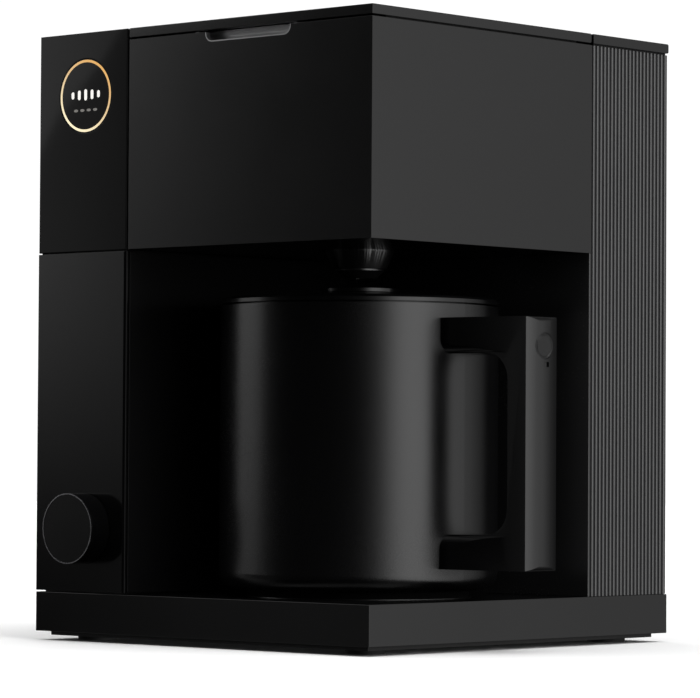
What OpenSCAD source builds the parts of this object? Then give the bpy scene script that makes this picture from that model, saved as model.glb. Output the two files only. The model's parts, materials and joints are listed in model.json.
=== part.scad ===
// Electric all-in-one drip brewer: a base slab, a left column with a round display and a
// rotary knob, a brew head over an open bay, a ribbed water tank and an insulated carafe.
// Millimetres. Origin at the centre of the square footprint, on the table; the front faces -Y.

/* [Body] */
// Width and depth of the square footprint
side = 226; // [222:1:240]
// Height from the underside of the base slab to the top
body_h = 299.8; // [294:0.2:320]
// Width of the left column
col_w = 62.9; // [60:0.1:66]
// Depth of the ribbed rear section
rear_d = 62.6; // [58:0.2:70]
// Height of the bay ceiling above the underside of the slab
ceiling_h = 190.3; // [190:0.1:200]
// Width of the seam between the column and the head
seam = 1.4; // [0.5:0.1:1.6]
// Height of the shadow groove under the column
groove = 0.8; // [0.6:0.05:2]
// Height of the groove between the two front panels
panel_gap = 0.65; // [0.5:0.05:2]
// Wall thickness of the moulded covers
wall = 2.4; // [2:0.1:2.6]

/* [Base] */
// Height of the base slab
slab_h = 19.7; // [19:0.1:24]
// Height of the recessed plinth under the slab
plinth_h = 2.1; // [1.8:0.1:3]
// Inset of the plinth from the slab's sides
plinth_inset = 5.5; // [4:0.5:10]
// Diameter of a foot
foot_d = 19.5; // [14:0.5:24]
// Reach of the feet below the plinth
foot_reach = 2.4; // [1.5:0.1:3]
// Distance between the feet, both ways
foot_gap = 182; // [170:1:186]
// Radius of the rest disc in the deck
rest_r = 56; // [52:1:58]

/* [Panel] */
// Centre of the display, left of the middle
ctrl_x = -79.8; // [-82:0.1:-79]
// Centre of the knob, left of the middle
knob_x = -77.3; // [-82:0.1:-76]
// Height of the display's centre above the underside of the slab
disp_h = 268.1; // [266:0.1:272]
// Radius of the round display
disp_r = 18.5; // [16:0.5:20]
// Height of the knob's centre above the underside of the slab
knob_h = 52; // [48:0.2:60]
// Radius of the knob
knob_r = 17.5; // [15:0.1:19]
// Distance from the panel to the knob's front
knob_len = 12.9; // [11:0.1:16]

/* [Head] */
// Thickness of the lids
lid_t = 4.7; // [4.7:0.1:6]
// Gap under the lids
lid_gap = 1; // [0.6:0.1:1.2]
// Width of the finger notch
notch_w = 57; // [40:1:60]
// Height of the finger notch
notch_h = 5; // [4.5:0.1:5.5]
// Inner radius of the brew chamber
chamber_r = 62.8; // [62:0.2:64]
// Travel of the drip stop
drip_travel = 3; // [2:0.5:3]

/* [Tank] */
// Left side of the tank, from the middle
tank_x0 = -2; // [-6:1:2]
// Height of a reed over the valleys between them
reed_h = 1; // [0.6:0.1:1.2]
// Distance between reeds
reed_pitch = 2.89; // [2.6:0.01:3.2]

/* [Carafe] */
// Outer radius of the carafe
car_r = 68.85; // [66:0.05:70]
// Height of the carafe's body
car_h = 139; // [130:0.1:140]
// Reach of the handle from the carafe's axis
handle_reach = 118.9; // [110:0.1:122]
// Width of the handle's grip
grip_w = 22.8; // [18:0.2:24]
// Thickness of the handle's grip
grip_t = 13.6; // [10:0.1:15]

/* [Hidden] */
$fn = 72;

half = side / 2;
z_plinth = foot_reach;
z_slab = z_plinth + plinth_h;
z_deck = z_slab + slab_h;
z_top = z_slab + body_h;
z_ceil = z_slab + ceiling_h;
z_lid = z_top - lid_t;
z_rim = z_lid - lid_gap;
x_col = -half + col_w;
x_head = x_col + seam;
y_seam = half - rear_d;
y_rear = y_seam + 1.5;
// The carafe, the outlet and the brew chamber share one vertical axis
ax = half - 81.35;
ay = 82 - half;

// Base
deck_t = 3.2;
flange_t = 2;
screw_x = half - 17;
screw_y = 60;
screw_r = 1.45;
rest_proud = 0.25;

// Column: covers, front panels and the chassis behind them
panel_t = 1.6;
panel_skin = 0.6;
panel_rebate = 1.2;
panel_round = 1.5;
y_panel = -half + panel_t;
z_col = z_deck + groove;
z_div1 = z_ceil - 0.2;
z_div0 = z_div1 - panel_gap;
groove_deep = 1.2;
chassis_t = 1.8;
disp_z = z_slab + disp_h;
knob_z = z_slab + knob_h;
bush_r = 3.9;
bay_t = 1.4;

// Rear: the tank stands right of the fixed housing
tank_x1 = half - 0.3;
tank_y1 = half - 0.3;
house_x1 = tank_x0 - 0.9;
z_tank = z_deck + 0.2;
tank_wall = 2.2;
z_floor = z_deck + 10.6;
dock_x = 55;
dock_y = 82;
nipple_r = 8;
inlet_x = -80;
inlet_z = 52;

// Hinges: each lid turns about the middle of its rear edge
hinge_z = z_top - lid_t / 2;
brew_hinge_y = y_seam - 0.2 - lid_t / 2;
tank_hinge_y = half - lid_t / 2;
brew_ears = [ax - 55, ax + 55];
tank_ears = [20, 92];
ear_r = lid_t / 2 - 0.15;
ear_w = 8;
pin_r = 1;
lid_chamfer = 0.6;

// Head
head_floor = 2.6;
z_plate = z_rim - 4;
plate_t = 2.6;
z_ledge = z_plate - 9.3;
z_tub = z_ceil + 11.7;
cone_r = 17.3;
z_cone = z_ceil - 9.1;
valve_r = 11.8;
z_valve = z_cone - 0.8;
web_z = z_valve + 4.6 + drip_travel;
port_x = -30;
port_y = 38;
port_z = z_plate - 10;

// Carafe
z_car = z_deck + rest_proud;
z_shell = z_car + 3.5;
z_mouth = z_shell + car_h;
shell_t = 1;
liner_r = car_r - 4.65;
z_car_lid = z_mouth + 0.9;
arm_w = 32;
z_grip0 = z_car + 14.75;
z_grip1 = z_grip0 + 120.8;
arm_lo = 16.7;
arm_hi = 17.2;
z_disc = z_grip1 - 14;

// ---- Shared shapes ----

// A block given by its low and high corners
module block(lo, hi) translate(lo) cube(hi - lo);

// Round bars along each axis
module rod_x(y, z, x0, x1, r) translate([x0, y, z]) rotate([0, 90, 0]) cylinder(r = r, h = x1 - x0);
module rod_y(x, z, y0, y1, r) translate([x, y0, z]) rotate([-90, 0, 0]) cylinder(r = r, h = y1 - y0);
module rod_z(x, y, z0, z1, r) translate([x, y, z0]) cylinder(r = r, h = z1 - z0);

// A solid of revolution about the carafe's axis
module turned() translate([ax, ay, 0]) rotate_extrude($fn = 120) children();

// A flat rectangle with a round corner at its high end, as half a section
module cup_half(r, z0, z1, round_r) {
  translate([0, z0 + round_r]) square([r, z1 - z0 - round_r]);
  translate([0, z0]) square([r - round_r, round_r]);
  translate([r - round_r, z0 + round_r]) circle(r = round_r);
}

// A rectangle with round corners on its right side only
module right_round(x0, x1, z0, z1, r) {
  translate([x0, z0]) square([x1 - x0 - r, z1 - z0]);
  translate([x0, z0 + r]) square([x1 - x0, z1 - z0 - 2 * r]);
  for (z = [z0 + r, z1 - r]) translate([x1 - r, z]) circle(r = r, $fn = 48);
}

// A row of n half-round reeds along a side of the given length, as [along, out] points
function reeds(len, n) = [
  for (i = [0 : n - 1], j = [0 : 5])
    let (t = 36 * j)
    [(i + 0.5 - 0.42 * cos(t)) * len / n, reed_h * sin(t)]
];

// A reeded outline from x0 to x1, with reeds on the right and back
module reeded(x0, x1, y0, y1) {
  deep = y1 - y0;
  wide = x1 - x0;
  corner = 0.3;
  right = reeds(deep, round(deep / reed_pitch));
  back = reeds(wide, round(wide / reed_pitch));
  polygon(concat(
    [[x0, y0], [x1 - reed_h, y0]],
    [for (p = right) if (p[0] < deep - 0.4) [x1 - reed_h + p[1], y0 + p[0]]],
    [[x1 - corner, y1 - corner]],
    [for (p = back) if (p[0] > reed_h) [x1 - p[0], y1 - reed_h + p[1]]],
    [[x0, y1 - reed_h]]
  ));
}

// The ear of a lid hinge, standing on the wall in front of or behind it
module ear(x, y, back) {
  rod_x(y, hinge_z, x - ear_w / 2, x + ear_w / 2, ear_r);
  block([x - ear_w / 2, y - ear_r, z_plate + 0.4], [x + ear_w / 2, back, hinge_z]);
}

// A lid's flat panel with a bevelled rear edge, cut away round its ears and bored for its pins
module lid_slab(x0, x1, y0, y_hinge, ears) {
  y1 = y_hinge + lid_t / 2;
  c = lid_chamfer;
  difference() {
    translate([x0, 0, 0]) rotate([90, 0, 90]) linear_extrude(x1 - x0) polygon([
      [y0, z_lid], [y1 - c, z_lid], [y1, z_lid + c], [y1, z_top - c], [y1 - c, z_top], [y0, z_top]
    ]);
    for (x = ears) {
      block([x - ear_w / 2 - 0.4, y_hinge - ear_r - 1.2, z_lid - 1], [x + ear_w / 2 + 0.4, y_hinge + lid_t, z_top + 1]);
      rod_x(y_hinge, hinge_z, x - ear_w / 2 - 8, x + ear_w / 2 + 8, pin_r);
    }
  }
}

module hinge_pins(y_hinge, ears) {
  for (x = ears) rod_x(y_hinge, hinge_z, x - ear_w / 2 - 8, x + ear_w / 2 + 8, pin_r);
}

// A hose that runs through a list of points, with a slightly wider ball at each bend
module hose(points, r) {
  for (i = [0 : len(points) - 2]) {
    step = points[i + 1] - points[i];
    tilt = acos(step[2] / norm(step));
    turn = atan2(step[1], step[0]);
    translate(points[i]) rotate([0, tilt, turn]) cylinder(r = r, h = norm(step), $fn = 24);
    if (i > 0) translate(points[i]) rotate([0, tilt, turn]) sphere(r = r + 0.6, $fn = 24);
  }
}

// A coil spring standing on z0: a round wire swept along a helix as one closed mesh
module coil(x, y, z0, z1, r, wire, turns) {
  rings = turns * 16;
  sides = 8;
  pts = [
    for (i = [0 : rings], j = [0 : sides - 1])
      let (a = 360 * i / 16, b = 360 * j / sides, q = r + wire * cos(b))
      [q * cos(a), q * sin(a), z0 + wire + (z1 - z0 - 2 * wire) * i / rings + wire * sin(b)]
  ];
  skin = [
    for (i = [0 : rings - 1], j = [0 : sides - 1])
      let (k = (j + 1) % sides)
      [i * sides + j, i * sides + k, (i + 1) * sides + k, (i + 1) * sides + j]
  ];
  ends = [[for (j = [sides - 1 : -1 : 0]) j], [for (j = [0 : sides - 1]) rings * sides + j]];
  translate([x, y, 0]) polyhedron(points = pts, faces = concat(skin, ends), convexity = 10);
}

// ---- Base ----

module base_screw_places() {
  for (x = [-screw_x, screw_x], y = [-screw_y, 0, screw_y]) translate([x, y, 0]) children();
}

module foot_places() {
  for (x = [-1, 1], y = [-1, 1]) translate([x * foot_gap / 2, y * foot_gap / 2, 0]) children();
}

module base_shell() color([0.09, 0.09, 0.095]) {
  inner = half - 2.6;
  z_under = z_deck - deck_t;
  difference() {
    block([-half, -half, z_slab], [half, half, z_deck]);
    block([-inner, -inner, z_slab - 1], [inner, inner, z_under]);
    rod_z(ax, ay, z_deck - 1.6, z_deck + 1, rest_r + 0.2);
    rod_z(dock_x, dock_y, z_under - 1, z_deck + 1, 4.6);
    rod_z(-82, 20, z_under - 1, z_deck + 1, 7);
  }
  base_screw_places() difference() {
    translate([0, 0, z_slab + flange_t]) cylinder(r = 4, h = z_under - z_slab - flange_t);
    translate([0, 0, z_slab]) cylinder(r = screw_r + 0.05, h = 12);
  }
}

module bottom_cover() color([0.06, 0.06, 0.065]) {
  low = half - plinth_inset;
  high = half - 2.8;
  difference() {
    union() {
      block([-low, -low, z_plinth], [low, low, z_slab]);
      block([-high, -high, z_slab], [high, high, z_slab + flange_t]);
    }
    base_screw_places() {
      translate([0, 0, z_plinth - 1]) cylinder(r = 3.2, h = 3);
      translate([0, 0, z_plinth]) cylinder(r = 1.7, h = 8);
    }
    foot_places() translate([0, 0, z_plinth - 1]) cylinder(r = 3.05, h = 3.6);
  }
}

module feet() color([0.05, 0.05, 0.05]) foot_places() {
  cylinder(r = foot_d / 2, h = foot_reach);
  cylinder(r = 3, h = foot_reach + 2.5);
}

module base_screws() color([0.5, 0.5, 0.52]) base_screw_places() difference() {
  union() {
    translate([0, 0, z_plinth + 0.4]) cylinder(r = 2.8, h = 1.6);
    translate([0, 0, z_plinth + 2]) cylinder(r = screw_r, h = 10);
  }
  for (a = [0, 90]) rotate([0, 0, a]) translate([-1.8, -0.3, z_plinth]) cube([3.6, 0.6, 1.2]);
}

module rest_plate() color([0.11, 0.11, 0.115]) turned() difference() {
  translate([0, z_deck - 1.6]) square([rest_r, 1.6 + rest_proud]);
  translate([rest_r - 3.5, z_deck - 0.1]) square([0.8, 1]);
  translate([0, z_deck - 0.1]) square([8, 1]);
}

// ---- Column ----

// The inner frame: an open-backed box with a shelf that shows in the groove between panels
module chassis() color([0.04, 0.04, 0.045]) {
  x0 = -half + 2.5;
  x1 = x_col - 2.5;
  y0 = -half + 4.1;
  y1 = y_seam - 2;
  z1 = z_top - 3.4;
  difference() {
    union() {
      block([x0, y0, z_deck], [x1, y1, z1]);
      block([-half + groove_deep, -half + groove_deep, z_div0], [x_col - groove_deep, y1, z_div1]);
    }
    block([x0 + chassis_t, y0 + chassis_t, z_deck + 2], [x1 - chassis_t, y1 + 1, z1 + 1]);
    rod_z(-82, 20, z_deck - 1, z_deck + 3, 7);
    rod_y(ctrl_x, disp_z, y0 - 1, y0 + chassis_t + 1, disp_r + 0.6);
    block([knob_x - 8, y0 - 1, knob_z - 8], [knob_x + 8, y0 + chassis_t + 1, knob_z + 8]);
  }
}

// Left, front and right walls of a column cover
module column_walls(z0, z1) {
  block([-half, y_panel, z0], [-half + wall, y_seam, z1]);
  block([x_col - wall, y_panel, z0], [x_col, y_seam, z1]);
  block([-half, y_panel, z0], [x_col, y_panel + 1.8, z1]);
}

module column_lower() color([0.08, 0.08, 0.085]) difference() {
  column_walls(z_col, z_div0);
  block([x_col - panel_rebate, y_panel - 1, z_col - 1], [x_col + 1, y_panel + panel_rebate, z_div0 + 1]);
  rod_y(knob_x, knob_z, y_panel - 1, y_panel + 3, bush_r + 0.1);
}

// The front panel, with its right edge rounded towards the bay
module control_panel() color([0.1, 0.1, 0.105]) difference() {
  x_round = x_col - panel_round;
  translate([0, 0, z_col]) linear_extrude(z_div0 - z_col) {
    translate([-half, -half]) square([x_round + half, panel_t]);
    translate([x_round, -half + panel_round]) circle(r = panel_round, $fn = 48);
    translate([x_round - 1, -half + panel_round]) square([panel_round + 1, panel_t - panel_round]);
  }
  block([-half - 1, -half + panel_skin, z_col - 1], [-half + panel_rebate, y_panel + 1, z_div0 + 1]);
  block([-half - 1, y_panel, z_col - 1], [x_col + 1, y_panel + 2 * panel_round, z_div0 + 1]);
  rod_y(knob_x, knob_z, -half - 1, y_panel + 1, bush_r + 0.1);
}

module column_upper() color([0.08, 0.08, 0.085]) difference() {
  union() {
    column_walls(z_div1, z_top);
    block([-half, y_panel, z_top - wall], [x_col, y_seam, z_top]);
  }
  rod_y(ctrl_x, disp_z, y_panel - 1, y_panel + 3, disp_r - 0.9);
}

module display_glass() color([0.02, 0.02, 0.025]) difference() {
  block([-half, -half, z_div1], [x_col, y_panel, z_top]);
  rod_y(ctrl_x, disp_z, -half - 1, y_panel + 1, disp_r + 0.1);
}

module display_lens() color([0.01, 0.01, 0.012]) rod_y(ctrl_x, disp_z, -half, y_panel, disp_r);

module display_module() color([0.1, 0.3, 0.18]) {
  y_board = y_panel + 6;
  rod_y(ctrl_x, disp_z, y_panel, y_board, disp_r - 1.5);
  block([ctrl_x - 23, y_board, disp_z - 40], [ctrl_x + 23, y_board + 1.6, disp_z + 24]);
  block([ctrl_x - 9, y_board + 1.6, disp_z - 36], [ctrl_x + 9, y_board + 5, disp_z - 28]);
}

module control_board() color([0.1, 0.3, 0.18]) {
  y0 = y_panel + 7.8;
  block([knob_x - 20, y0, knob_z - 18], [knob_x + 20, y0 + 1.6, knob_z + 30]);
  block([knob_x - 7, y0 + 1.6, knob_z + 18], [knob_x + 7, y0 + 6, knob_z + 26]);
}

module encoder() color([0.45, 0.46, 0.48]) difference() {
  union() {
    block([knob_x - 6.5, y_panel + 2, knob_z - 6.5], [knob_x + 6.5, y_panel + 7.8, knob_z + 6.5]);
    rod_y(knob_x, knob_z, -half + 0.4, y_panel + 2, bush_r);
  }
  rod_y(knob_x, knob_z, -half, y_panel + 8, 3.05);
  rod_y(knob_x, knob_z, y_panel + 4.3, y_panel + 8, 4.55);
}

module encoder_plunger() color([0.75, 0.75, 0.72]) {
  rod_y(knob_x, knob_z, y_panel + 4.6, y_panel + 7, 4.5);
}

module knob_shaft() color([0.6, 0.6, 0.62]) {
  rod_y(knob_x, knob_z, -half - knob_len + 3, y_panel + 4.6, 3);
}

module knob_cap() color([0.05, 0.05, 0.055]) {
  y0 = -half - knob_len;
  y1 = -half - 0.8;
  difference() {
    union() {
      difference() {
        rod_y(knob_x, knob_z, y0, y1, knob_r);
        rod_y(knob_x, knob_z, y0 + 3, y1 + 1, knob_r - 2.2);
      }
      rod_y(knob_x, knob_z, y0 + 2, y1, 6);
    }
    rod_y(knob_x, knob_z, y0 + 3, y1 + 1, 3);
    rod_y(knob_x, knob_z, y0 - 1, y0 + 0.2, knob_r - 0.5);
    difference() {
      rod_y(knob_x, knob_z, y0 - 1, y0 + 1.1, knob_r + 1);
      rod_y(knob_x, knob_z, y0 - 2, y0 + 2, knob_r - 0.6);
    }
  }
}

module knob_rim() color([0.35, 0.35, 0.37]) difference() {
  rod_y(knob_x, knob_z, -half - knob_len, -half - knob_len + 1.1, knob_r);
  rod_y(knob_x, knob_z, -half - knob_len - 1, -half - knob_len + 2, knob_r - 0.6);
}

// ---- Bay, rear housing and power ----

module bay_wall() color([0.03, 0.03, 0.035]) {
  block([x_col, y_seam - bay_t, z_deck], [half, y_seam, z_ceil]);
}

module rear_housing() color([0.16, 0.16, 0.165]) difference() {
  translate([0, 0, z_deck]) linear_extrude(z_rim + 0.2 - z_deck) mirror([1, 0, 0])
    reeded(-house_x1, tank_x1, y_rear, tank_y1);
  block([-tank_x1 + reed_h + tank_wall, y_rear - 1, z_deck - 1],
        [house_x1 - tank_wall, tank_y1 - reed_h - tank_wall, z_rim + 1]);
  block([inlet_x - 14.2, tank_y1 - 6, inlet_z - 10.2], [inlet_x + 14.2, half + 1, inlet_z + 10.2]);
  block([inlet_x - 16.3, tank_y1 - reed_h - 0.6, inlet_z - 12.8], [inlet_x + 16.3, half + 1, inlet_z + 12.8]);
}

module rear_top() color([0.12, 0.12, 0.125]) {
  block([-half, y_rear, z_rim + 0.2], [house_x1, half, z_top]);
}

module power_inlet() color([0.07, 0.07, 0.07]) difference() {
  y_face = tank_y1 - reed_h + 1.2;
  union() {
    block([inlet_x - 14, y_face - 19, inlet_z - 10], [inlet_x + 14, y_face, inlet_z + 10]);
    block([inlet_x - 16, y_face - 1.8, inlet_z - 12.5], [inlet_x + 16, y_face, inlet_z + 12.5]);
  }
  block([inlet_x - 12.3, y_face - 15.5, inlet_z - 8.3], [inlet_x + 12.3, y_face + 1, inlet_z + 8.3]);
}

module inlet_pins() color([0.75, 0.7, 0.5]) {
  y_back = tank_y1 - reed_h - 14.3;
  for (p = [[-7, 0], [0, 4], [7, 0]])
    translate([inlet_x + p[0] - 1, y_back, inlet_z + p[1] - 2]) cube([2, 11, 4]);
}

module main_board() color([0.08, 0.28, 0.16]) {
  block([-107, 62, 130], [-56, 63.6, 270]);
  block([-96, 63.6, 200], [-82, 66, 214]);
  for (z = [140 : 16 : 188]) block([-104, 63.6, z], [-92, 72, z + 10]);
  for (z = [150, 172]) rod_y(-72, z, 63.6, 80, 6);
  block([-78, 63.6, 228], [-60, 76, 256]);
}

module power_board() color([0.1, 0.26, 0.18]) {
  x0 = -104;
  block([x0, -88, 112], [x0 + 1.6, 8, 186]);
  block([x0 + 1.6, -82, 118], [x0 + 30, -52, 152]);
  for (y = [-42, -26]) translate([x0 + 1.6, y, 126]) rotate([0, 90, 0]) cylinder(r = 6, h = 24);
  block([x0 + 1.6, -14, 120], [x0 + 17, 4, 148]);
  block([x0 + 1.6, -82, 164], [x0 + 12, -20, 180]);
}

// ---- Water path ----

module pump() color([0.2, 0.2, 0.21]) {
  rod_z(-82, 20, 34, 88, 19);
  rod_z(-82, 20, 28, 34, 4.5);
  rod_z(-82, 20, 88, 96, 4.5);
  block([-104, 12, z_deck + 2], [-60, 28, 34]);
}

module flow_meter() color([0.8, 0.8, 0.78]) difference() {
  block([dock_x - 47, dock_y - 12, 8.5], [dock_x - 23, dock_y + 12, 19.5]);
  rod_z(dock_x - 35, dock_y, 18.5, 21, 8);
}

module heater() color([0.7, 0.71, 0.72]) difference() {
  union() {
    rod_z(-30, 84, 124, 224, 19);
    rod_z(-30, 84, 118, 124, 4.5);
    rod_z(-30, 84, 224, 230, 4.5);
    for (z = [140, 205]) rod_z(-30, 84, z, z + 6, 21);
    block([-37, 62, 165], [-23, 84, 183]);
  }
  for (a = [0 : 45 : 315]) translate([-30, 84, 0]) rotate([0, 0, a]) rod_z(12, 0, 120, 228, 2);
}

module hoses() color([0.85, 0.84, 0.8]) {
  r = 4;
  z_run = 14;
  hose([[dock_x, dock_y, z_deck - 1], [dock_x, dock_y, z_run], [dock_x - 23, dock_y, z_run]], r);
  hose([[dock_x - 47, dock_y, z_run], [-82, dock_y, z_run], [-82, 20, z_run], [-82, 20, z_deck + 2]], r);
  hose([[-82, 20, 96], [-82, 20, 108], [-82, 74, 108], [-30, 84, 108], [-30, 84, 118]], r);
  hose([[-30, 84, 230], [-30, 84, port_z], [-30, port_y + 6, port_z]], r);
}

// A cup for the tank's nipple, with a pin in its middle that holds the tank's valve open
module tank_dock() color([0.06, 0.06, 0.065]) {
  difference() {
    rod_z(dock_x, dock_y, z_deck, z_floor - 1, 14);
    rod_z(dock_x, dock_y, z_deck + 3, z_floor, nipple_r + 0.4);
    rod_z(dock_x, dock_y, z_floor - 4, z_floor - 2, nipple_r + 2);
    for (a = [0 : 120 : 240])
      translate([dock_x, dock_y, 0]) rotate([0, 0, a]) rod_z(4, 0, z_deck - 1, z_deck + 4, 1.5);
  }
  rod_z(dock_x, dock_y, z_deck + 1, z_deck + 6, 2);
}

module dock_seal() color([0.6, 0.15, 0.12]) difference() {
  rod_z(dock_x, dock_y, z_floor - 4, z_floor - 2, nipple_r + 2);
  rod_z(dock_x, dock_y, z_floor - 5, z_floor - 1, nipple_r + 0.06);
}

// ---- Head ----

module head_shell() color([0.13, 0.13, 0.135]) {
  difference() {
    block([x_head, -half, z_ceil], [half, y_seam, z_rim]);
    block([x_head + wall, -half + wall, z_ceil + head_floor], [half - wall, y_seam - wall, z_rim + 1]);
    rod_z(ax, ay, z_ceil - 1, z_ceil + head_floor + 1, cone_r + 1.7);
    rod_y(-30, port_z, y_seam - wall - 1, y_seam + 1, 4.6);
    translate([0, -half + wall + 1, 0]) rotate([90, 0, 0]) linear_extrude(wall + 2) notch_shape();
  }
  for (x = brew_ears) difference() {
    ear(x, brew_hinge_y, y_seam - 0.2);
    rod_x(brew_hinge_y, hinge_z, x - ear_w, x + ear_w, pin_r + 0.06);
  }
}

// The finger notch, smaller by a gap all round: open at the top edge, with round lower corners
module notch_shape(gap = 0) {
  r = 4.4 - gap;
  x0 = ax - notch_w / 2 + 0.5 + gap;
  w = notch_w - 2 * gap;
  z0 = z_rim - notch_h + gap;
  translate([x0, z0 + r]) square([w, notch_h]);
  translate([x0 + r, z0]) square([w - 2 * r, notch_h]);
  for (x = [r, w - r]) translate([x0 + x, z0 + r]) circle(r = r, $fn = 48);
}

// A trough behind the notch with a concave back, and a thin lining round the notch's edge
module finger_pocket() color([0.3, 0.3, 0.31]) {
  x0 = ax - notch_w / 2 - 8.5;
  x1 = ax + notch_w / 2 + 2.5;
  y0 = -half + wall;
  scoop = 3.6;
  difference() {
    block([x0, y0, z_rim - notch_h - 2.4], [x1, y0 + 7, z_lid - 0.3]);
    rod_x(y0 + 1, z_rim - 2, x0 + 2, x1 - 2, scoop);
    block([x0 + 2, y0 - 1, z_rim - notch_h + 0.5], [x1 - 2, y0 + 3.4, z_lid]);
  }
  intersection() {
    translate([0, y0 + 0.3, 0]) rotate([90, 0, 0]) linear_extrude(wall + 0.3) difference() {
      notch_shape(0.05);
      notch_shape(0.6);
    }
    block([x0, -half, z_rim - notch_h], [x1, y0 + 0.3, z_rim - 0.1]);
  }
}

// A square top plate with a stepped round tub hanging from it
module brew_chamber() color([0.07, 0.07, 0.075]) difference() {
  union() {
    block([x_head + wall + 0.1, -half + wall + 0.1, z_plate - plate_t],
          [half - wall - 0.1, y_seam - wall - 0.1, z_plate]);
    turned() translate([0, z_tub]) square([chamber_r + 5.4, z_plate - z_tub]);
  }
  turned() {
    translate([0, z_tub + 2.5]) square([chamber_r, z_plate - z_tub]);
    translate([0, z_ledge]) square([chamber_r + 3.2, 20]);
    polygon([[0, z_tub - 1], [9.5, z_tub - 1], [9.5, z_tub + 1], [16, z_tub + 3], [0, z_tub + 3]]);
  }
  block([ax - notch_w / 2 - 9.5, -half, z_plate - 5],
        [ax + notch_w / 2 + 3.5, -half + wall + 9.5, z_rim]);
  rod_z(port_x, port_y, z_plate - 8, z_plate + 1, 5.6);
}

// A flat-bottomed filter basket that hangs by its rim on the ledge
module basket() color([0.09, 0.09, 0.095]) {
  z0 = z_tub + 13;
  r0 = 42;
  r1 = 59.5;
  difference() {
    turned() difference() {
      union() {
        polygon([[0, z0], [r0, z0], [r1, z_ledge], [0, z_ledge]]);
        translate([0, z_ledge]) square([chamber_r + 2.7, 2.4]);
        translate([0, z0 - 6]) square([10, 7]);
      }
      polygon([[0, z0 + 1.8], [r0 - 1.8, z0 + 1.8], [r1 - 1.8, z_ledge + 3], [0, z_ledge + 3]]);
      translate([0, z0 - 7]) square([4.5, 12]);
    }
    for (a = [0 : 30 : 330]) translate([ax, ay, 0]) rotate([0, 0, a]) rod_z(26, 0, z0 - 1, z0 + 3, 2);
  }
  for (s = [-1, 1])
    block([ax + s * 60.5 - 1.2, ay - 9, z_ledge + 2.4], [ax + s * 60.5 + 1.2, ay + 9, z_ledge + 7]);
}

// The outlet under the head: a cone with a guide web for the drip stop
module outlet_cone() color([0.08, 0.08, 0.085]) difference() {
  turned() difference() {
    union() {
      translate([0, z_ceil + 0.7]) square([cone_r, z_tub - z_ceil - 0.7]);
      polygon([[0, z_cone], [13.2, z_cone], [cone_r, z_ceil + 0.7], [0, z_ceil + 0.7]]);
    }
    translate([0, z_cone - 1]) square([valve_r + 0.4, web_z - z_cone + 1]);
    translate([0, web_z + 8]) square([9.5, 20]);
    translate([0, web_z - 1]) square([5.06, 12]);
  }
}

module drip_spring() color([0.7, 0.7, 0.72]) coil(ax, ay, z_valve + 1.2, web_z, 7.2, 0.45, 3);

// The drip stop: its lower cone shows, its stem ends in a disc that closes on the web
module drip_valve() color([0.1, 0.1, 0.105]) difference() {
  turned() difference() {
    union() {
      polygon([[0, z_valve - 3.8], [8.2, z_valve - 3.8], [valve_r, z_valve], [valve_r, z_valve + 1], [0, z_valve + 1]]);
      translate([0, z_valve]) square([5, web_z + 8 - z_valve]);
      translate([0, web_z + 8]) square([7.8, 1.8]);
    }
    translate([0, z_valve - 5]) square([2.8, web_z + 11 - z_valve]);
  }
  rod_x(ay, web_z + 6, ax - 8, ax + 8, 1.4);
}

// The nozzle that feeds the lid's duct
module water_port() color([0.75, 0.74, 0.7]) difference() {
  union() {
    rod_z(port_x, port_y, port_z - 6, z_plate + 0.5, 5.4);
    rod_y(port_x, port_z, port_y, port_y + 6, 4.5);
  }
  rod_z(port_x, port_y, port_z - 1, z_plate + 2, 2.5);
}

module lid_panel() color([0.14, 0.14, 0.145]) {
  lid_slab(x_head, half, -half, brew_hinge_y, brew_ears);
}

// The liner under the lid, with the duct from the port to the shower
module lid_liner() color([0.08, 0.08, 0.085]) {
  z0 = z_plate + 1;
  difference() {
    block([x_head + wall + 1, -half + 13, z0], [half - wall - 1, brew_hinge_y - 5.5, z_lid]);
    turned() translate([0, z_lid - 1.6]) square([50, 2]);
    hull() {
      rod_z(port_x, port_y, z_lid - 1.6, z_lid + 1, 3);
      rod_z(ax, ay, z_lid - 1.6, z_lid + 1, 3);
    }
    rod_z(port_x, port_y, z0 - 1, z_lid + 1, 2.5);
    rod_z(ax, ay, z0 - 1, z_lid + 1, 4);
  }
}

module lid_gasket() color([0.5, 0.5, 0.5]) turned() {
  translate([57, z_plate + 0.4]) square([4.6, 0.6]);
}

module shower_head() color([0.75, 0.75, 0.76]) {
  z0 = z_plate - 7;
  difference() {
    turned() {
      translate([0, z0]) square([44, 3.2]);
      translate([0, z0 + 3]) square([10, z_plate + 1 - z0 - 3]);
    }
    rod_z(ax, ay, z0 + 1.2, z_plate + 2, 4);
    turned() translate([0, z0 + 1.2]) square([42.6, 1]);
    for (ring = [1 : 3], i = [0 : 6 * ring - 1])
      translate([ax, ay, 0]) rotate([0, 0, 60 * i / ring]) rod_z(12.5 * ring, 0, z0 - 1, z0 + 2, 0.9, $fn = 16);
  }
}

module lid_pins() color([0.7, 0.7, 0.72]) hinge_pins(brew_hinge_y, brew_ears);

// ---- Tank ----

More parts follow.
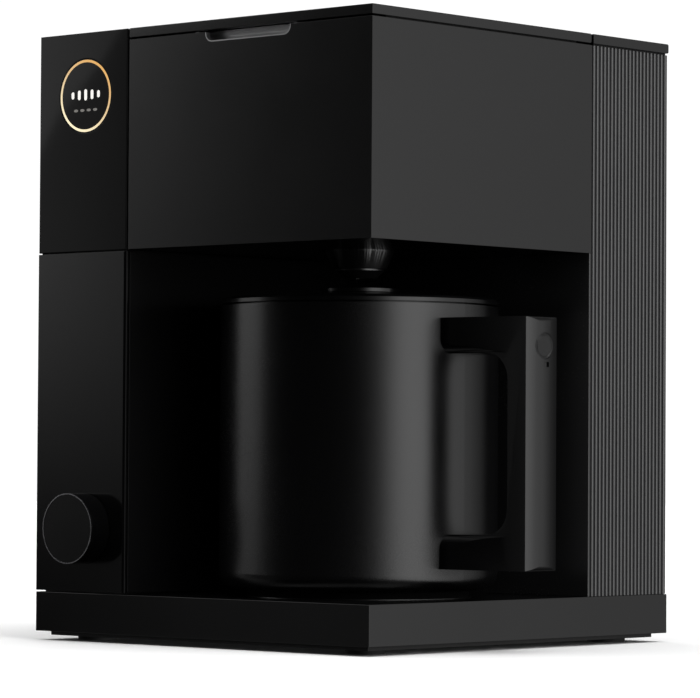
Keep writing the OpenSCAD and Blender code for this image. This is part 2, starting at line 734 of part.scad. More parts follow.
module tank_body() color([0.16, 0.16, 0.165]) {
  x_in = tank_x1 - reed_h - tank_wall;
  y_in = tank_y1 - reed_h - tank_wall;
  difference() {
    translate([0, 0, z_tank]) linear_extrude(z_rim - z_tank) reeded(tank_x0, tank_x1, y_rear, tank_y1);
    block([tank_x0 + tank_wall, y_rear + tank_wall, z_floor + 2.5], [x_in, y_in, z_rim + 1]);
    block([tank_x0 + tank_wall, y_rear + tank_wall, z_tank - 1], [x_in, y_in, z_floor]);
    rod_z(dock_x, dock_y, z_floor - 1, z_floor + 4, 5);
  }
  difference() {
    rod_z(dock_x, dock_y, z_deck + 3.5, z_floor + 0.5, nipple_r);
    rod_z(dock_x, dock_y, z_deck + 3, z_floor + 1, 5);
  }
  for (x = tank_ears) difference() {
    ear(x, tank_hinge_y, tank_y1 - reed_h);
    rod_x(tank_hinge_y, hinge_z, x - ear_w, x + ear_w, pin_r + 0.06);
  }
}

module tank_valve() color([0.85, 0.85, 0.83]) {
  z_seat = z_floor + 2.5;
  rod_z(dock_x, dock_y, z_seat + 1.5, z_seat + 3.2, 7);
  rod_z(dock_x, dock_y, z_deck + 6, z_seat + 2, 1.6);
  for (a = [0, 90]) translate([dock_x, dock_y, z_seat - 5]) rotate([0, 0, a])
    translate([-4.9, -0.6, 0]) cube([9.8, 1.2, 3]);
}

module tank_filter() color([0.55, 0.56, 0.58]) difference() {
  z_seat = z_floor + 2.5;
  rod_z(dock_x, dock_y, z_seat, z_seat + 13, 12);
  rod_z(dock_x, dock_y, z_seat - 1, z_seat + 12, 11);
  for (a = [0 : 20 : 340]) translate([dock_x, dock_y, z_seat + 2]) rotate([0, 0, a])
    translate([10, -0.8, 0]) cube([3, 1.6, 8]);
}

module tank_lid() color([0.12, 0.12, 0.125]) {
  lid_slab(tank_x0, half, y_rear, tank_hinge_y, tank_ears);
  difference() {
    block([tank_x0 + 3, y_rear + 3, z_lid - 3], [tank_x1 - 4.6, tank_hinge_y - 5.5, z_lid]);
    block([tank_x0 + 5, y_rear + 5, z_lid - 4], [tank_x1 - 6.6, tank_hinge_y - 7.5, z_lid + 1]);
  }
}

module tank_lid_pins() color([0.7, 0.7, 0.72]) hinge_pins(tank_hinge_y, tank_ears);

// ---- Carafe ----

module carafe_shell() color([0.05, 0.05, 0.055]) turned() difference() {
  cup_half(car_r, z_shell, z_mouth, 8);
  difference() {
    cup_half(car_r - shell_t, z_shell + shell_t, z_mouth + 1, 7);
    translate([0, z_mouth - shell_t]) square([car_r, 4]);
  }
  translate([0, z_mouth - 5]) square([liner_r - shell_t, 10]);
}

module carafe_liner() color([0.72, 0.72, 0.73]) turned() difference() {
  cup_half(liner_r, z_shell + 4.5, z_mouth - shell_t, 10);
  cup_half(liner_r - shell_t, z_shell + 4.5 + shell_t, z_mouth + 9, 9);
}

module carafe_foot() color([0.04, 0.04, 0.045]) turned() difference() {
  translate([0, z_car]) square([car_r - 14, z_shell - z_car]);
  translate([0, z_car - 1]) square([car_r - 22, 2]);
}

// The end of an arm seen along X, with its lower corners rounded, standing on z = 0
module arm_end(h) {
  r = 7;
  translate([-arm_w / 2, r]) square([arm_w, h - r]);
  translate([r - arm_w / 2, 0]) square([arm_w - 2 * r, r]);
  for (s = [-1, 1]) translate([s * (arm_w / 2 - r), r]) circle(r = r, $fn = 48);
}

// The handle seen along X: two arms joined by the grip
module handle_end() {
  translate([-grip_w / 2, z_grip0 - 1]) square([grip_w, z_grip1 - z_grip0 + 2]);
  translate([0, z_grip1 - arm_hi]) arm_end(arm_hi + 1);
  translate([0, z_grip0 + arm_lo]) mirror([0, 1]) arm_end(arm_lo + 1);
}

// The C-shaped handle: a side outline cut to a plan that widens towards the carafe
module carafe_handle() color([0.05, 0.05, 0.055]) {
  crown = 28.5;
  difference() {
    translate([ax, ay, 0]) intersection() {
      rotate([90, 0, 0]) linear_extrude(arm_w, center = true) difference() {
        right_round(car_r - 8, handle_reach, z_grip0, z_grip1, 3.5);
        right_round(0, handle_reach - grip_t, z_grip0 + arm_lo, z_grip1 - arm_hi, 13);
      }
      translate([0, 0, z_grip0 - 1]) linear_extrude(z_grip1 - z_grip0 + 2) polygon([
        [40, -arm_w / 2], [car_r + 8, -arm_w / 2], [handle_reach - 14, -grip_w / 2],
        [handle_reach + 1, -grip_w / 2], [handle_reach + 1, grip_w / 2],
        [handle_reach - 14, grip_w / 2], [car_r + 8, arm_w / 2], [40, arm_w / 2]
      ]);
      translate([handle_reach - crown, 0, z_grip0 - 1]) cylinder(r = crown, h = 200, $fn = 180);
      rotate([90, 0, 90]) linear_extrude(handle_reach + 1) handle_end();
    }
    rod_z(ax, ay, 0, 200, car_r, $fn = 120);
    for (z = lug_heights()) rod_x(ay, z, ax, ax + car_r + 20.1, 5.02);
    for (z = lug_heights()) rod_z(ax + car_r + 13, ay, z - 9, z, 1.5);
    for (z = lug_heights()) rod_z(ax + car_r + 13, ay, z - 12, z - 6.4, 3);
    rod_x(ay, z_disc, ax + handle_reach - 1.4, ax + handle_reach + 1, 6.35);
    block([ax + handle_reach - 0.9, ay - 1, z_disc - 10], [ax + handle_reach + 1, ay + 3, z_disc - 7.6]);
  }
}

function lug_heights() = [z_grip0 + arm_lo / 2 + 0.4, z_grip1 - arm_hi / 2 + 0.2];

module handle_lugs() color([0.6, 0.6, 0.62]) for (z = lug_heights()) difference() {
  rod_x(ay, z, ax + car_r - 4, ax + car_r + 20, 5);
  rod_z(ax, ay, 0, 200, car_r, $fn = 120);
  rod_z(ax + car_r + 13, ay, z - 9, z, 1.5);
}

module handle_screws() color([0.6, 0.6, 0.62]) for (z = lug_heights()) {
  rod_z(ax + car_r + 13, ay, z - 6.4, z - 0.5, 1.45);
  rod_z(ax + car_r + 13, ay, z - 8, z - 6.4, 2.9);
}

module handle_cap() color([0.08, 0.08, 0.085]) difference() {
  rod_x(ay, z_disc, ax + handle_reach - 1.4, ax + handle_reach - 0.45, 6.25);
  difference() {
    rod_x(ay, z_disc, ax + handle_reach - 0.8, ax + handle_reach, 5.6);
    rod_x(ay, z_disc, ax + handle_reach - 1, ax + handle_reach + 1, 5);
  }
}

// The turned lid: a flat rim, a shallow dish up to the collar and a plug inside the mouth
module carafe_lid() color([0.06, 0.06, 0.065]) turned() difference() {
  z0 = z_car_lid;
  union() {
    polygon([
      [0, z0], [car_r - 0.4, z0], [car_r - 0.4, z0 + 1.8], [car_r - 1.5, z0 + 3], [60, z0 + 3.2],
      [21, z0 + 6], [20, z0 + 6.4], [20, z0 + 8], [19.5, z0 + 8.3], [0, z0 + 8.3]
    ]);
    translate([0, z0 - 14]) square([liner_r - 1.6, 14.5]);
  }
  polygon([[0, z0 - 15], [58, z0 - 15], [58, z0 - 1], [19, z0 + 3.5], [0, z0 + 3.5]]);
  translate([0, z0]) square([16.5, 10]);
  translate([liner_r - 2.8, z0 - 9]) square([3, 3]);
}

// The brew-through core in the middle of the lid
module lid_core() color([0.1, 0.1, 0.105]) turned() difference() {
  z0 = z_car_lid;
  union() {
    translate([0, z0 - 6]) square([16.4, 13.4]);
    polygon([[0, z0 - 26], [6, z0 - 26], [6, z0 - 12], [16.4, z0 - 5], [0, z0 - 5]]);
  }
  polygon([
    [0, z0 - 27], [4, z0 - 27], [4, z0 - 11], [14.6, z0 - 2], [14.6, z0 + 8], [0, z0 + 8]
  ]);
}

module lid_seal() color([0.35, 0.35, 0.35]) turned() difference() {
  translate([liner_r - 2.8, z_car_lid - 9]) square([1.5, 3]);
  translate([liner_r - 1.3, z_car_lid - 7.5]) circle(r = 0.25, $fn = 24);
}

base_shell();
bottom_cover();
feet();
base_screws();
rest_plate();
chassis();
column_lower();
control_panel();
column_upper();
display_glass();
display_lens();
display_module();
control_board();
encoder();
bay_wall();
rear_housing();
rear_top();
power_inlet();
inlet_pins();
main_board();
power_board();
pump();
flow_meter();
heater();
hoses();
tank_dock();
dock_seal();
head_shell();
finger_pocket();
brew_chamber();
basket();
outlet_cone();
water_port();
drip_spring();
drip_valve();
encoder_plunger();
knob_shaft();
knob_cap();
knob_rim();
lid_panel();
lid_liner();
lid_gasket();
shower_head();
lid_pins();
tank_body();
tank_valve();
tank_filter();
tank_lid();
tank_lid_pins();
carafe_shell();
carafe_liner();
carafe_foot();
carafe_handle();
handle_lugs();
handle_screws();
handle_cap();
carafe_lid();
lid_core();
lid_seal();
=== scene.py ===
import json
import math

import bmesh
import bpy
from mathutils import Matrix, Vector


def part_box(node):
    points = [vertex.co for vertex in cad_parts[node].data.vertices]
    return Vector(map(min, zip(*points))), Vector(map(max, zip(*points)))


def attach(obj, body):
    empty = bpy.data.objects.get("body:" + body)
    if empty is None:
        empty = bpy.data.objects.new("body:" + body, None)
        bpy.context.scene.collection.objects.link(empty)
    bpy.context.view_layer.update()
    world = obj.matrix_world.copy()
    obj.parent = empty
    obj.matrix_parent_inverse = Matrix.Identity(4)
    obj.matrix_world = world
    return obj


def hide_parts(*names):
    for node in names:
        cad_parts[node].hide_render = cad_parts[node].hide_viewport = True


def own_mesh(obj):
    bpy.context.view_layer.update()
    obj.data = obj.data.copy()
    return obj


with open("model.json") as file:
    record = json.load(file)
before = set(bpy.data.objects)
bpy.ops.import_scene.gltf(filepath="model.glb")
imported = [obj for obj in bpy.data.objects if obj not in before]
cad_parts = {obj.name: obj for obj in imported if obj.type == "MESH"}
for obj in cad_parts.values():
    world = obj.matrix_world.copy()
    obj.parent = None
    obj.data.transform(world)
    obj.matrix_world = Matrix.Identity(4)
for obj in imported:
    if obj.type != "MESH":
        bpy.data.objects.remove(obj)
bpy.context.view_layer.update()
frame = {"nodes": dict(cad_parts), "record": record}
nodes = frame["nodes"]
record = frame["record"]
body_of = {n: b for b, members in record["behaviour"]["bodies"].items() for n in members}
slot_of = {s["node"]: s["material_slot"] for s in record["subparts"]}
scene = bpy.context.scene
MM = 0.001


# ---- Node trees ----

def add(tree, kind, inputs=None, **settings):
    """A node and its settings; each input, by name or number, takes a value or a node's socket."""
    node = tree.nodes.new(kind)
    for key, value in settings.items():
        setattr(node, key, value)
    for key, value in (inputs or {}).items():
        if isinstance(value, bpy.types.NodeSocket):
            tree.links.new(value, node.inputs[key])
        else:
            node.inputs[key].default_value = value
    return node


def calculate(tree, operation, *values):
    """The result of a sum on numbers and sockets."""
    return add(tree, "ShaderNodeMath", dict(enumerate(values)), operation=operation).outputs[0]


def rescale(tree, value, start, end, low=0.0, high=1.0, curve="LINEAR"):
    """The value, brought from the range start to end into the range low to high."""
    ends = {"Value": value, "From Min": start, "From Max": end, "To Min": low, "To Max": high}
    return add(tree, "ShaderNodeMapRange", ends, interpolation_type=curve).outputs["Result"]


def along(tree, vector, direction):
    """How far a vector reaches in a direction."""
    inputs = {0: vector, 1: direction}
    return add(tree, "ShaderNodeVectorMath", inputs, operation="DOT_PRODUCT").outputs["Value"]


def noise(tree, place, scale, detail):
    """A smooth random value over space."""
    return add(tree, "ShaderNodeTexNoise", {"Vector": place, "Scale": scale, "Detail": detail}).outputs["Fac"]


def ramp(tree, value, stops):
    """The colour at a value, between (value, colour) stops in rising order."""
    node = add(tree, "ShaderNodeValToRGB", {"Fac": value})
    elements = node.color_ramp.elements
    for element, (position, colour) in zip(elements, (stops[0], stops[-1])):
        element.position = position
        element.color = (*colour, 1)
    for position, colour in stops[1:-1]:
        elements.new(position).color = (*colour, 1)
    return node.outputs["Color"]


# ---- Materials ----

CLOUD_SCALE = 14.0
CLOUD_SPAN = (0.3, 0.7)
NOISE_SUM_SPAN = (0.6, 1.4)
RELIEF_DEPTH = 0.2 * MM
LEAST_ROUGHNESS = 0.01


def new_material(name):
    """A material, its node tree, its main shader and the place of a point in the object's own space."""
    material = bpy.data.materials.new(name)
    material.use_nodes = True
    tree = material.node_tree
    place = add(tree, "ShaderNodeTexCoord").outputs["Object"]
    return material, tree, tree.nodes["Principled BSDF"], place


def finish(name, colour, rough, metallic=0.0, spec=0.5, grain=1200.0, bump=0.0, spread=0.06, tint=0.1,
           stretch=(1, 1, 1)):
    """A surface whose colour, roughness and fine relief all vary a little over the object's own space."""
    material, tree, shader, place = new_material(name)
    shader.inputs["Metallic"].default_value = metallic
    shader.inputs["Specular IOR Level"].default_value = spec
    place = add(tree, "ShaderNodeMapping", {"Vector": place, "Scale": stretch}).outputs["Vector"]
    slow = noise(tree, place, CLOUD_SCALE, 4.0)
    fine = noise(tree, place, grain, 3.0)
    both = calculate(tree, "ADD", slow, fine)
    roughness = rescale(tree, both, *NOISE_SUM_SPAN, max(rough - spread, LEAST_ROUGHNESS), rough + spread)
    tree.links.new(roughness, shader.inputs["Roughness"])
    shades = [[min(c * k, 1) for c in colour] for k in (1 - tint, 1 + tint)]
    tree.links.new(ramp(tree, slow, list(zip(CLOUD_SPAN, shades))), shader.inputs["Base Color"])
    if bump:
        relief = add(tree, "ShaderNodeBump", {"Strength": bump, "Distance": RELIEF_DEPTH, "Height": fine})
        tree.links.new(relief.outputs["Normal"], shader.inputs["Normal"])
    return material


def lit(tree, shader, colour, strength):
    """Makes a shader shine in the colour."""
    tree.links.new(colour, shader.inputs["Emission Color"])
    tree.links.new(colour, shader.inputs["Base Color"])
    shader.inputs["Emission Strength"].default_value = strength


def glow(name, colour, strength):
    """A lit sign on the screen, a little uneven over its face."""
    material, tree, shader, place = new_material(name)
    uneven = noise(tree, place, 60.0, 2.0)
    lit(tree, shader, ramp(tree, uneven, [(0, [c * 0.85 for c in colour]), (1, colour)]), strength)
    return material


def ring_light(name, centre, radius):
    """The lit ring of the display: pale at the lower left, amber at the upper right."""
    material, tree, shader, place = new_material(name)
    offset = add(tree, "ShaderNodeVectorMath", {0: place, 1: centre}, operation="SUBTRACT").outputs["Vector"]
    slant = Vector((0.5, 0, 0.8)) / radius
    height = rescale(tree, along(tree, offset, slant), -1.0, 1.0)
    pale, middle, amber = (0.84, 0.76, 0.52), (0.60, 0.42, 0.22), (0.62, 0.33, 0.09)
    colour = ramp(tree, height, [(0, pale), (0.55, middle), (1, amber)])
    lit(tree, shader, colour, 1.0)
    return material


def fade_right(material, x, width, low):
    """Less shine beside the right edge at x: it falls over the left half of the width, then stays low."""
    tree = material.node_tree
    place = add(tree, "ShaderNodeTexCoord").outputs["Object"]
    across = add(tree, "ShaderNodeSeparateXYZ", {0: place}).outputs[0]
    shine = rescale(tree, across, x - width, x - width / 2, 0.5, low)
    tree.links.new(shine, tree.nodes["Principled BSDF"].inputs["Specular IOR Level"])


# The look of each material slot of the record
FINISHES = {
    "satin_black": dict(colour=(0.003, 0.003, 0.0032), rough=0.12, spread=0.025, bump=0.015),
    "soft_black": dict(colour=(0.003, 0.003, 0.0032), rough=0.5, spec=0.35, bump=0.1),
    "gloss_black": dict(colour=(0.0015, 0.0015, 0.0016), rough=0.03, spec=0.21, spread=0.012, tint=0.05),
    "screen": dict(colour=(0.001, 0.001, 0.0011), rough=0.03, spec=0.24, spread=0.012, tint=0.05),
    "reeded_grey": dict(colour=(0.03, 0.03, 0.031), rough=0.19, spec=0.7, spread=0.03),
    "pocket_grey": dict(colour=(0.45, 0.45, 0.455), rough=0.42, metallic=1.0, grain=700.0),
    "foot_rubber": dict(colour=(0.01, 0.01, 0.01), rough=0.75, spec=0.3, bump=0.3),
    "rest_black": dict(colour=(0.005, 0.005, 0.0052), rough=0.3, bump=0.04),
    "knob_black": dict(colour=(0.002, 0.002, 0.0022), rough=0.22, spec=0.23, bump=0.02),
    "knob_edge": dict(colour=(0.3, 0.3, 0.31), rough=0.18, metallic=1.0, grain=500.0, stretch=(1, 30, 1)),
    "coated_steel": dict(colour=(0.002, 0.002, 0.0022), rough=0.25, spec=0.55, grain=2600.0, bump=0.2,
                         spread=0.05),
    "carafe_black": dict(colour=(0.002, 0.002, 0.0022), rough=0.24, spec=0.45, spread=0.04, bump=0.03),
    "stainless": dict(colour=(0.6, 0.6, 0.61), rough=0.26, metallic=1.0, grain=300.0, stretch=(1, 1, 14)),
    "steel_hardware": dict(colour=(0.55, 0.55, 0.56), rough=0.28, metallic=1.0, grain=500.0),
    "aluminium_block": dict(colour=(0.6, 0.6, 0.61), rough=0.5, metallic=1.0, grain=700.0, bump=0.3),
    "circuit_board": dict(colour=(0.012, 0.09, 0.04), rough=0.4, bump=0.1),
    "pump_grey": dict(colour=(0.08, 0.08, 0.085), rough=0.45, bump=0.1),
    "white_plastic": dict(colour=(0.68, 0.68, 0.65), rough=0.4, bump=0.06),
    "clear_hose": dict(colour=(0.7, 0.69, 0.64), rough=0.42, bump=0.05),
    "grey_silicone": dict(colour=(0.25, 0.25, 0.25), rough=0.55, bump=0.1),
    "red_silicone": dict(colour=(0.4, 0.05, 0.03), rough=0.55, bump=0.1),
    "brass_contact": dict(colour=(0.7, 0.5, 0.22), rough=0.25, metallic=1.0, grain=500.0),
}
slot_finish = {name: finish(name, **settings) for name, settings in FINISHES.items()}

# CAD nodes that look different from the rest of their slot
outlet_satin = finish("outlet_satin", (0.012, 0.012, 0.0125), 0.3, spec=0.9, bump=0.04)
own_finish = {
    "outlet_cone": outlet_satin,
    "drip_valve": outlet_satin,
    "carafe_foot": finish("foot_matte", (0.0015, 0.0015, 0.0016), 0.8, spec=0.1, bump=0.2),
    "bay_wall": finish("bay_satin", (0.016, 0.016, 0.0165), 0.25, spec=0.9, bump=0.03),
    "column_lower": finish("column_matte", (0.0025, 0.0025, 0.0027), 0.5, spec=0.15, bump=0.03),
    "control_panel": finish("panel_front", (0.0025, 0.0025, 0.0027), 0.1, spread=0.02, bump=0.01),
}
fade_right(own_finish["control_panel"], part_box("control_panel")[1].x, 1.2 * MM, 0.06)

dark_seal = finish("dark_seal", (0.004, 0.004, 0.0042), 0.6, spec=0.2, bump=0.1)
pale_light = glow("pale_light", (0.9, 0.88, 0.84), 0.9)
dim_light = glow("dim_light", (0.3, 0.29, 0.27), 0.35)


def look(node):
    """The material that a CAD node shows: its own, or its slot's."""
    return own_finish.get(node) or slot_finish[slot_of[node]]


# ---- Mesh tools ----

WELD = 0.001 * MM
FLAT_ANGLE = math.radians(0.6)
BEVEL_ANGLE = math.radians(30)
CREASE_ANGLE = math.radians(50)


def mesh_from(bm, name):
    """A mesh from a finished bmesh, which is freed."""
    mesh = bpy.data.meshes.new(name)
    bm.to_mesh(mesh)
    bm.free()
    return mesh


def link(mesh, name, material):
    """An object in the scene that shows the mesh in one material."""
    o = bpy.data.objects.new(name, mesh)
    scene.collection.objects.link(o)
    mesh.materials.clear()
    mesh.materials.append(material)
    return o


def circle(steps):
    """The cosine and sine of evenly spaced angles round a full turn."""
    return [(math.cos(a), math.sin(a)) for a in (2 * math.pi * k / steps for k in range(steps))]


def copy_of(node, merge_flats=False):
    """The CAD node's own mesh with its corners welded and, if asked, its flat faces made whole."""
    mesh = nodes[node].data.copy()
    bm = bmesh.new()
    bm.from_mesh(mesh)
    bmesh.ops.remove_doubles(bm, verts=bm.verts, dist=WELD)
    if merge_flats:
        bmesh.ops.dissolve_limit(bm, angle_limit=FLAT_ANGLE, verts=bm.verts, edges=bm.edges)
    bmesh.ops.recalc_face_normals(bm, faces=bm.faces)
    bm.to_mesh(mesh)
    bm.free()
    return mesh


def stand_for(mesh, node):
    """A new object from the mesh, in the place, the body and the material slot of a CAD node."""
    o = link(mesh, node + "_skin", look(node))
    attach(o, body_of[node])
    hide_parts(node)
    return o


def soften(node, width):
    """The CAD node's own shape with round edges of a width in mm, and flat faces that stay flat."""
    o = stand_for(copy_of(node, merge_flats=True), node)
    for face in o.data.polygons:
        face.use_smooth = True
    bevel = o.modifiers.new("round_edges", "BEVEL")
    bevel.width = width * MM
    bevel.segments = 3
    bevel.limit_method = "ANGLE"
    bevel.angle_limit = BEVEL_ANGLE
    bevel.miter_outer = "MITER_ARC"
    o.modifiers.new("even_normals", "WEIGHTED_NORMAL").weight = 100


def smooth(node):
    """The CAD node's own mesh, shaded smooth except at its sharp creases."""
    mesh = copy_of(node)
    if "custom_normal" in mesh.attributes:
        mesh.attributes.remove(mesh.attributes["custom_normal"])
    mesh.shade_smooth()
    mesh.set_sharp_from_angle(angle=CREASE_ANGLE)
    return stand_for(mesh, node)


# ---- Base, column, head, lids and handle: the CAD shapes with round edges ----

EDGE_WIDTHS = {
    "base_shell": 0.55, "bottom_cover": 0.5, "feet": 0.5, "column_lower": 0.45, "column_upper": 0.45,
    "control_panel": 0.4, "display_glass": 0.4, "head_shell": 0.5, "lid_panel": 0.6, "tank_lid": 0.6,
    "rear_top": 0.6, "bay_wall": 0.3, "power_inlet": 0.4, "handle_cap": 0.2, "carafe_handle": 0.9,
    "chassis": 0.25, "brew_chamber": 0.4, "basket": 0.4, "outlet_cone": 0.25, "drip_valve": 0.3,
}
for part, width in EDGE_WIDTHS.items():
    soften(part, width)


# ---- Reeds: the CAD outline with round shading ----

for part in ("tank_body", "rear_housing"):
    smooth(part)


# ---- Drip stop spring: the CAD shape shaded smooth, in a mesh of its own (the real spring shortens as the drip stop is pushed up) ----

spring = smooth("drip_spring")
lo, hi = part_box("drip_spring")
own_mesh(spring)


# ---- Display: a lit ring, a row of lit bars and a row of dim dots ----

PROUD = 0.03 * MM
RING_INSET = 0.4 * MM
RING_WIDTH = 1.25 * MM
RING_DEPTH = 0.3 * MM
SIGN_DEPTH = 0.2 * MM
SIGN_PITCH = 4.6 * MM
BAR_HEIGHTS = (3.6 * MM, 4.8 * MM, 5.6 * MM, 4.8 * MM, 3.6 * MM)
BAR_RADIUS = 1.0 * MM
BAR_RAISE = 0.5 * MM
DOT_COUNT = 4
DOT_SIZE = (1.5 * MM, 0.7 * MM)
DOT_DROP = 7.2 * MM


def front_ring(centre, inner, outer, near, far, name, material, steps=128):
    """A flat ring about an axis along Y, between two radii and two depths."""
    bm = bmesh.new()
    rows = [[bm.verts.new((centre.x + r * c, y, centre.z + r * s)) for c, s in circle(steps)]
            for r, y in ((inner, near), (outer, near), (outer, far), (inner, far))]
    for a, b in zip(rows, rows[1:] + rows[:1]):
        for k in range(steps):
            j = (k + 1) % steps
            bm.faces.new((a[k], a[j], b[j], b[k]))
    bmesh.ops.recalc_face_normals(bm, faces=bm.faces)
    return link(mesh_from(bm, name), name, material)


def oval(x, z, wide, tall, straight=0.0):
    """An ellipse of two half sizes about (x, z), its upper and lower half each moved out by straight."""
    return [(x + wide * c, z + math.copysign(straight, s + 1e-4) + tall * s) for c, s in circle(24)]


def sign(outline, name, material):
    """A thin piece on the face of the screen, from a closed outline of (x, z)."""
    bm = bmesh.new()
    near = [bm.verts.new((x, front - PROUD, z)) for x, z in outline]
    far = [bm.verts.new((x, front + SIGN_DEPTH, z)) for x, z in outline]
    bm.faces.new(near)
    bm.faces.new(far[::-1])
    for k in range(len(outline)):
        j = (k + 1) % len(outline)
        bm.faces.new((near[j], near[k], far[k], far[j]))
    bmesh.ops.recalc_face_normals(bm, faces=bm.faces)
    return link(mesh_from(bm, name), name, material)


lo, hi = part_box("display_lens")
mid = (lo + hi) / 2
front = lo.y
ring_out = (hi.x - lo.x) / 2 - RING_INSET
ring = front_ring(mid, ring_out - RING_WIDTH, ring_out, front - PROUD, front + RING_DEPTH, "display_ring",
                  ring_light("ring_light", mid, ring_out))
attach(ring, "machine")
for k, height in enumerate(BAR_HEIGHTS):
    x = mid.x + (k - (len(BAR_HEIGHTS) - 1) / 2) * SIGN_PITCH
    pill = oval(x, mid.z + BAR_RAISE, BAR_RADIUS, BAR_RADIUS, height / 2 - BAR_RADIUS)
    o = sign(pill, "display_bar_%d" % (k + 1), pale_light)
    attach(o, "machine")
for k in range(DOT_COUNT):
    x = mid.x + (k - (DOT_COUNT - 1) / 2) * SIGN_PITCH
    o = sign(oval(x, mid.z - DOT_DROP, *DOT_SIZE), "display_dot_%d" % (k + 1), dim_light)
    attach(o, "machine")


# ---- Seals that close the thin gaps over and under the tank ----

SEAL_INSET = 0.8 * MM
SIDE_SEAL = 1.2 * MM
SIDE_SEAL_END = 6 * MM
REAR_SEAL_LENGTH = 12 * MM
REAR_SEAL_FRONT = 6.5 * MM
REAR_SEAL_BACK = 0.4 * MM
PAD_WIDTH = 1.5 * MM
FRONT_GAP = 1 * MM
SEAT = 0.1 * MM
HAIR = 0.02 * MM


def strip(name, low, high, body):
    """A plain bar between two corners, riding a body."""
    bm = bmesh.new()
    bmesh.ops.create_cube(bm, size=1.0)
    for v in bm.verts:
        v.co = Vector((low[k] if v.co[k] < 0 else high[k] for k in range(3)))
    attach(link(mesh_from(bm, name), name, dark_seal), body)


tank_lo, tank_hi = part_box("tank_body")
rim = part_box("rear_housing")[1].z - SEAT
under_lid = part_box("lid_panel")[0].z - HAIR
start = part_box("tank_lid")[0].y + FRONT_GAP
right, back = tank_hi.x - SEAL_INSET, tank_hi.y - SEAL_INSET
strip("tank_lid_seal", (right - SIDE_SEAL, start, rim),
      (right, back - SIDE_SEAL_END, under_lid), "tank_cover")
strip("tank_lid_seal_rear", (right - REAR_SEAL_LENGTH, back - REAR_SEAL_FRONT, rim),
      (right, back - REAR_SEAL_BACK, under_lid), "tank_cover")
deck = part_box("base_shell")[1].z
strip("tank_pad", (right - PAD_WIDTH, start, deck), (right, back, tank_lo.z - HAIR), "machine")


# ---- Camera ----

CAMERA_PLACE = (1.2830, -1.4125, 0.0917)
CAMERA_YAW = -42.312
CAMERA_PITCH = 1.678
CAMERA_ROLL = 0.35
CAMERA_LENS = 193.58


def aim(place, yaw, pitch, roll, lens):
    """A camera at a place; yaw is clockwise from +Y, pitch is up, all in degrees, and the lens in mm."""
    yaw, pitch, roll = (math.radians(a) for a in (yaw, pitch, roll))
    ahead = Vector((math.sin(yaw) * math.cos(pitch), math.cos(yaw) * math.cos(pitch), math.sin(pitch)))
    level = Vector((math.cos(yaw), -math.sin(yaw), 0))
    above = level.cross(ahead)
    right = level * math.cos(roll) + above * math.sin(roll)
    up = above * math.cos(roll) - level * math.sin(roll)
    data = bpy.data.cameras.new("camera")
    data.lens = lens
    data.sensor_width = 36.0
    data.clip_start = 0.05
    data.clip_end = 60.0
    camera = bpy.data.objects.new("camera", data)
    scene.collection.objects.link(camera)
    pose = Matrix((right, up, -ahead)).transposed().to_4x4()
    pose.translation = Vector(place)
    camera.matrix_world = pose
    scene.camera = camera


aim(CAMERA_PLACE, CAMERA_YAW, CAMERA_PITCH, CAMERA_ROLL, CAMERA_LENS)


# ---- Floor ----

FLOOR_RADIUS = 6.0

bm = bmesh.new()
bmesh.ops.create_circle(bm, cap_ends=True, segments=96, radius=FLOOR_RADIUS)
floor_white = finish("floor_white", (0.86, 0.86, 0.86), 0.8, spec=0.1, tint=0.01, grain=40.0)
floor = link(mesh_from(bm, "floor"), "floor", floor_white)
floor.visible_glossy = False
floor.visible_diffuse = False


# ---- Light: one soft sun overhead, and a room of bright and dark cards round the object ----

SUN_STRENGTH = 3.0
SUN_SIZE = 70
BACKDROP = 1.05
HORIZON = (-0.03, 0.06)
# The room's brightness by azimuth in degrees: -180 is behind the object, 0 in front, 90 to its right
HIGH = [
    (-180, 0.05), (-120, 0.15), (-85, 0.9), (-60, 1.3), (-49, 1.85), (-46, 1.0), (-44, 0.13), (-38, 0.1),
    (-20, 0.03), (20, 0.015), (46, 0.05), (60, 0.45), (76, 3.1), (96, 3.2), (118, 1.5), (136, 1.15),
    (141, 0.75), (158, 0.25), (180, 0.05),
]
LOW = [
    (-180, 0.03), (-120, 0.1), (-85, 0.35), (-60, 0.08), (-48, 0.005), (-43, 0.16), (-38, 0.05),
    (-20, 0.015), (20, 0.015), (46, 0.05), (60, 0.4), (76, 2.6), (96, 2.7), (118, 1.3), (136, 1.0),
    (141, 0.7), (158, 0.22), (180, 0.03),
]
# A darker card fills the left half of the room on one side of a slanted plane, and takes this share away
CARD_NORMAL = (0.505, -0.617, -0.604)
CARD_SHARE = 0.55


def overhead_sun():
    light = bpy.data.lights.new("overhead", "SUN")
    light.energy = SUN_STRENGTH
    light.angle = math.radians(SUN_SIZE)
    scene.collection.objects.link(bpy.data.objects.new("overhead", light))


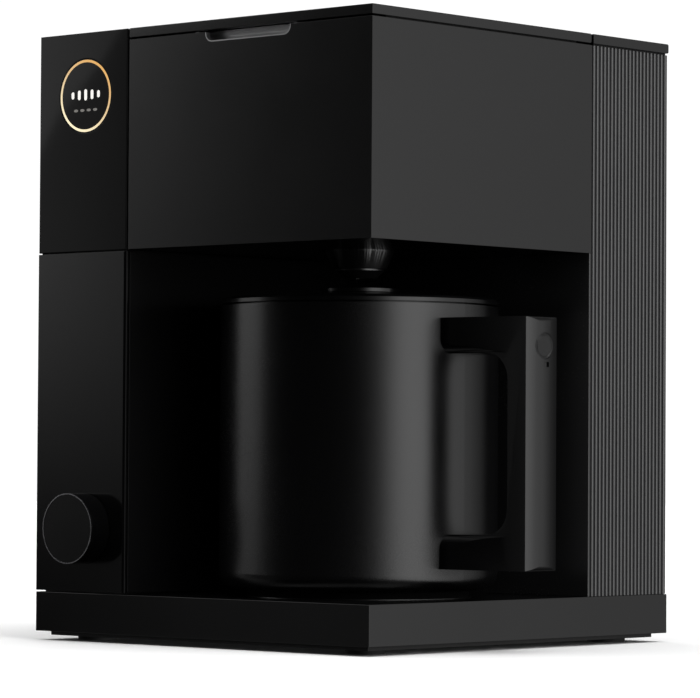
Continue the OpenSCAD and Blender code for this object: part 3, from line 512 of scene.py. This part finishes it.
def band(tree, azimuth, stops):
    """The room's brightness at an azimuth given from 0 to 1, from stops in degrees."""
    top = max(brightness for _, brightness in stops)
    greys = [((angle + 180) / 360, [brightness / top] * 3) for angle, brightness in stops]
    return calculate(tree, "MULTIPLY", ramp(tree, azimuth, greys), top)


def room_brightness(tree):
    """Brightness by direction: one band above the horizon, one below, less the card."""
    way = add(tree, "ShaderNodeTexCoord").outputs["Generated"]
    x, y, z = add(tree, "ShaderNodeSeparateXYZ", {0: way}).outputs
    angle = calculate(tree, "ARCTAN2", x, calculate(tree, "MULTIPLY", y, -1.0))
    azimuth = calculate(tree, "MULTIPLY_ADD", angle, 1 / (2 * math.pi), 0.5)
    above = rescale(tree, z, *HORIZON, curve="SMOOTHSTEP")
    below = calculate(tree, "SUBTRACT", 1.0, above)
    side = along(tree, way, CARD_NORMAL)
    outside = calculate(tree, "LESS_THAN", side, 0.0)
    left = calculate(tree, "LESS_THAN", azimuth, 0.5)
    card = calculate(tree, "MULTIPLY", left, calculate(tree, "SUBTRACT", 1.0, outside))
    shade = calculate(tree, "SUBTRACT", 1.0, calculate(tree, "MULTIPLY", card, CARD_SHARE))
    high = calculate(tree, "MULTIPLY", band(tree, azimuth, HIGH), shade)
    high = calculate(tree, "MULTIPLY", high, above)
    low = calculate(tree, "MULTIPLY", band(tree, azimuth, LOW), below)
    return calculate(tree, "ADD", high, low)


def studio():
    """A world that the camera sees as white and the object as the room."""
    world = bpy.data.worlds.new("studio")
    world.use_nodes = True
    tree = world.node_tree
    tree.nodes.clear()
    backdrop = add(tree, "ShaderNodeBackground", {"Color": (1, 1, 1, 1), "Strength": BACKDROP})
    room = add(tree, "ShaderNodeBackground", {"Strength": room_brightness(tree)})
    camera_ray = add(tree, "ShaderNodeLightPath").outputs["Is Camera Ray"]
    pick = add(tree, "ShaderNodeMixShader", {"Fac": camera_ray, 1: room.outputs[0], 2: backdrop.outputs[0]})
    add(tree, "ShaderNodeOutputWorld", {"Surface": pick.outputs["Shader"]})
    return world


overhead_sun()
scene.world = studio()
scene.view_settings.view_transform = "Standard"


# ---- The CAD nodes that show as they are ----

for name, o in nodes.items():
    if not o.hide_render:
        o.data.materials.clear()
        o.data.materials.append(look(name))
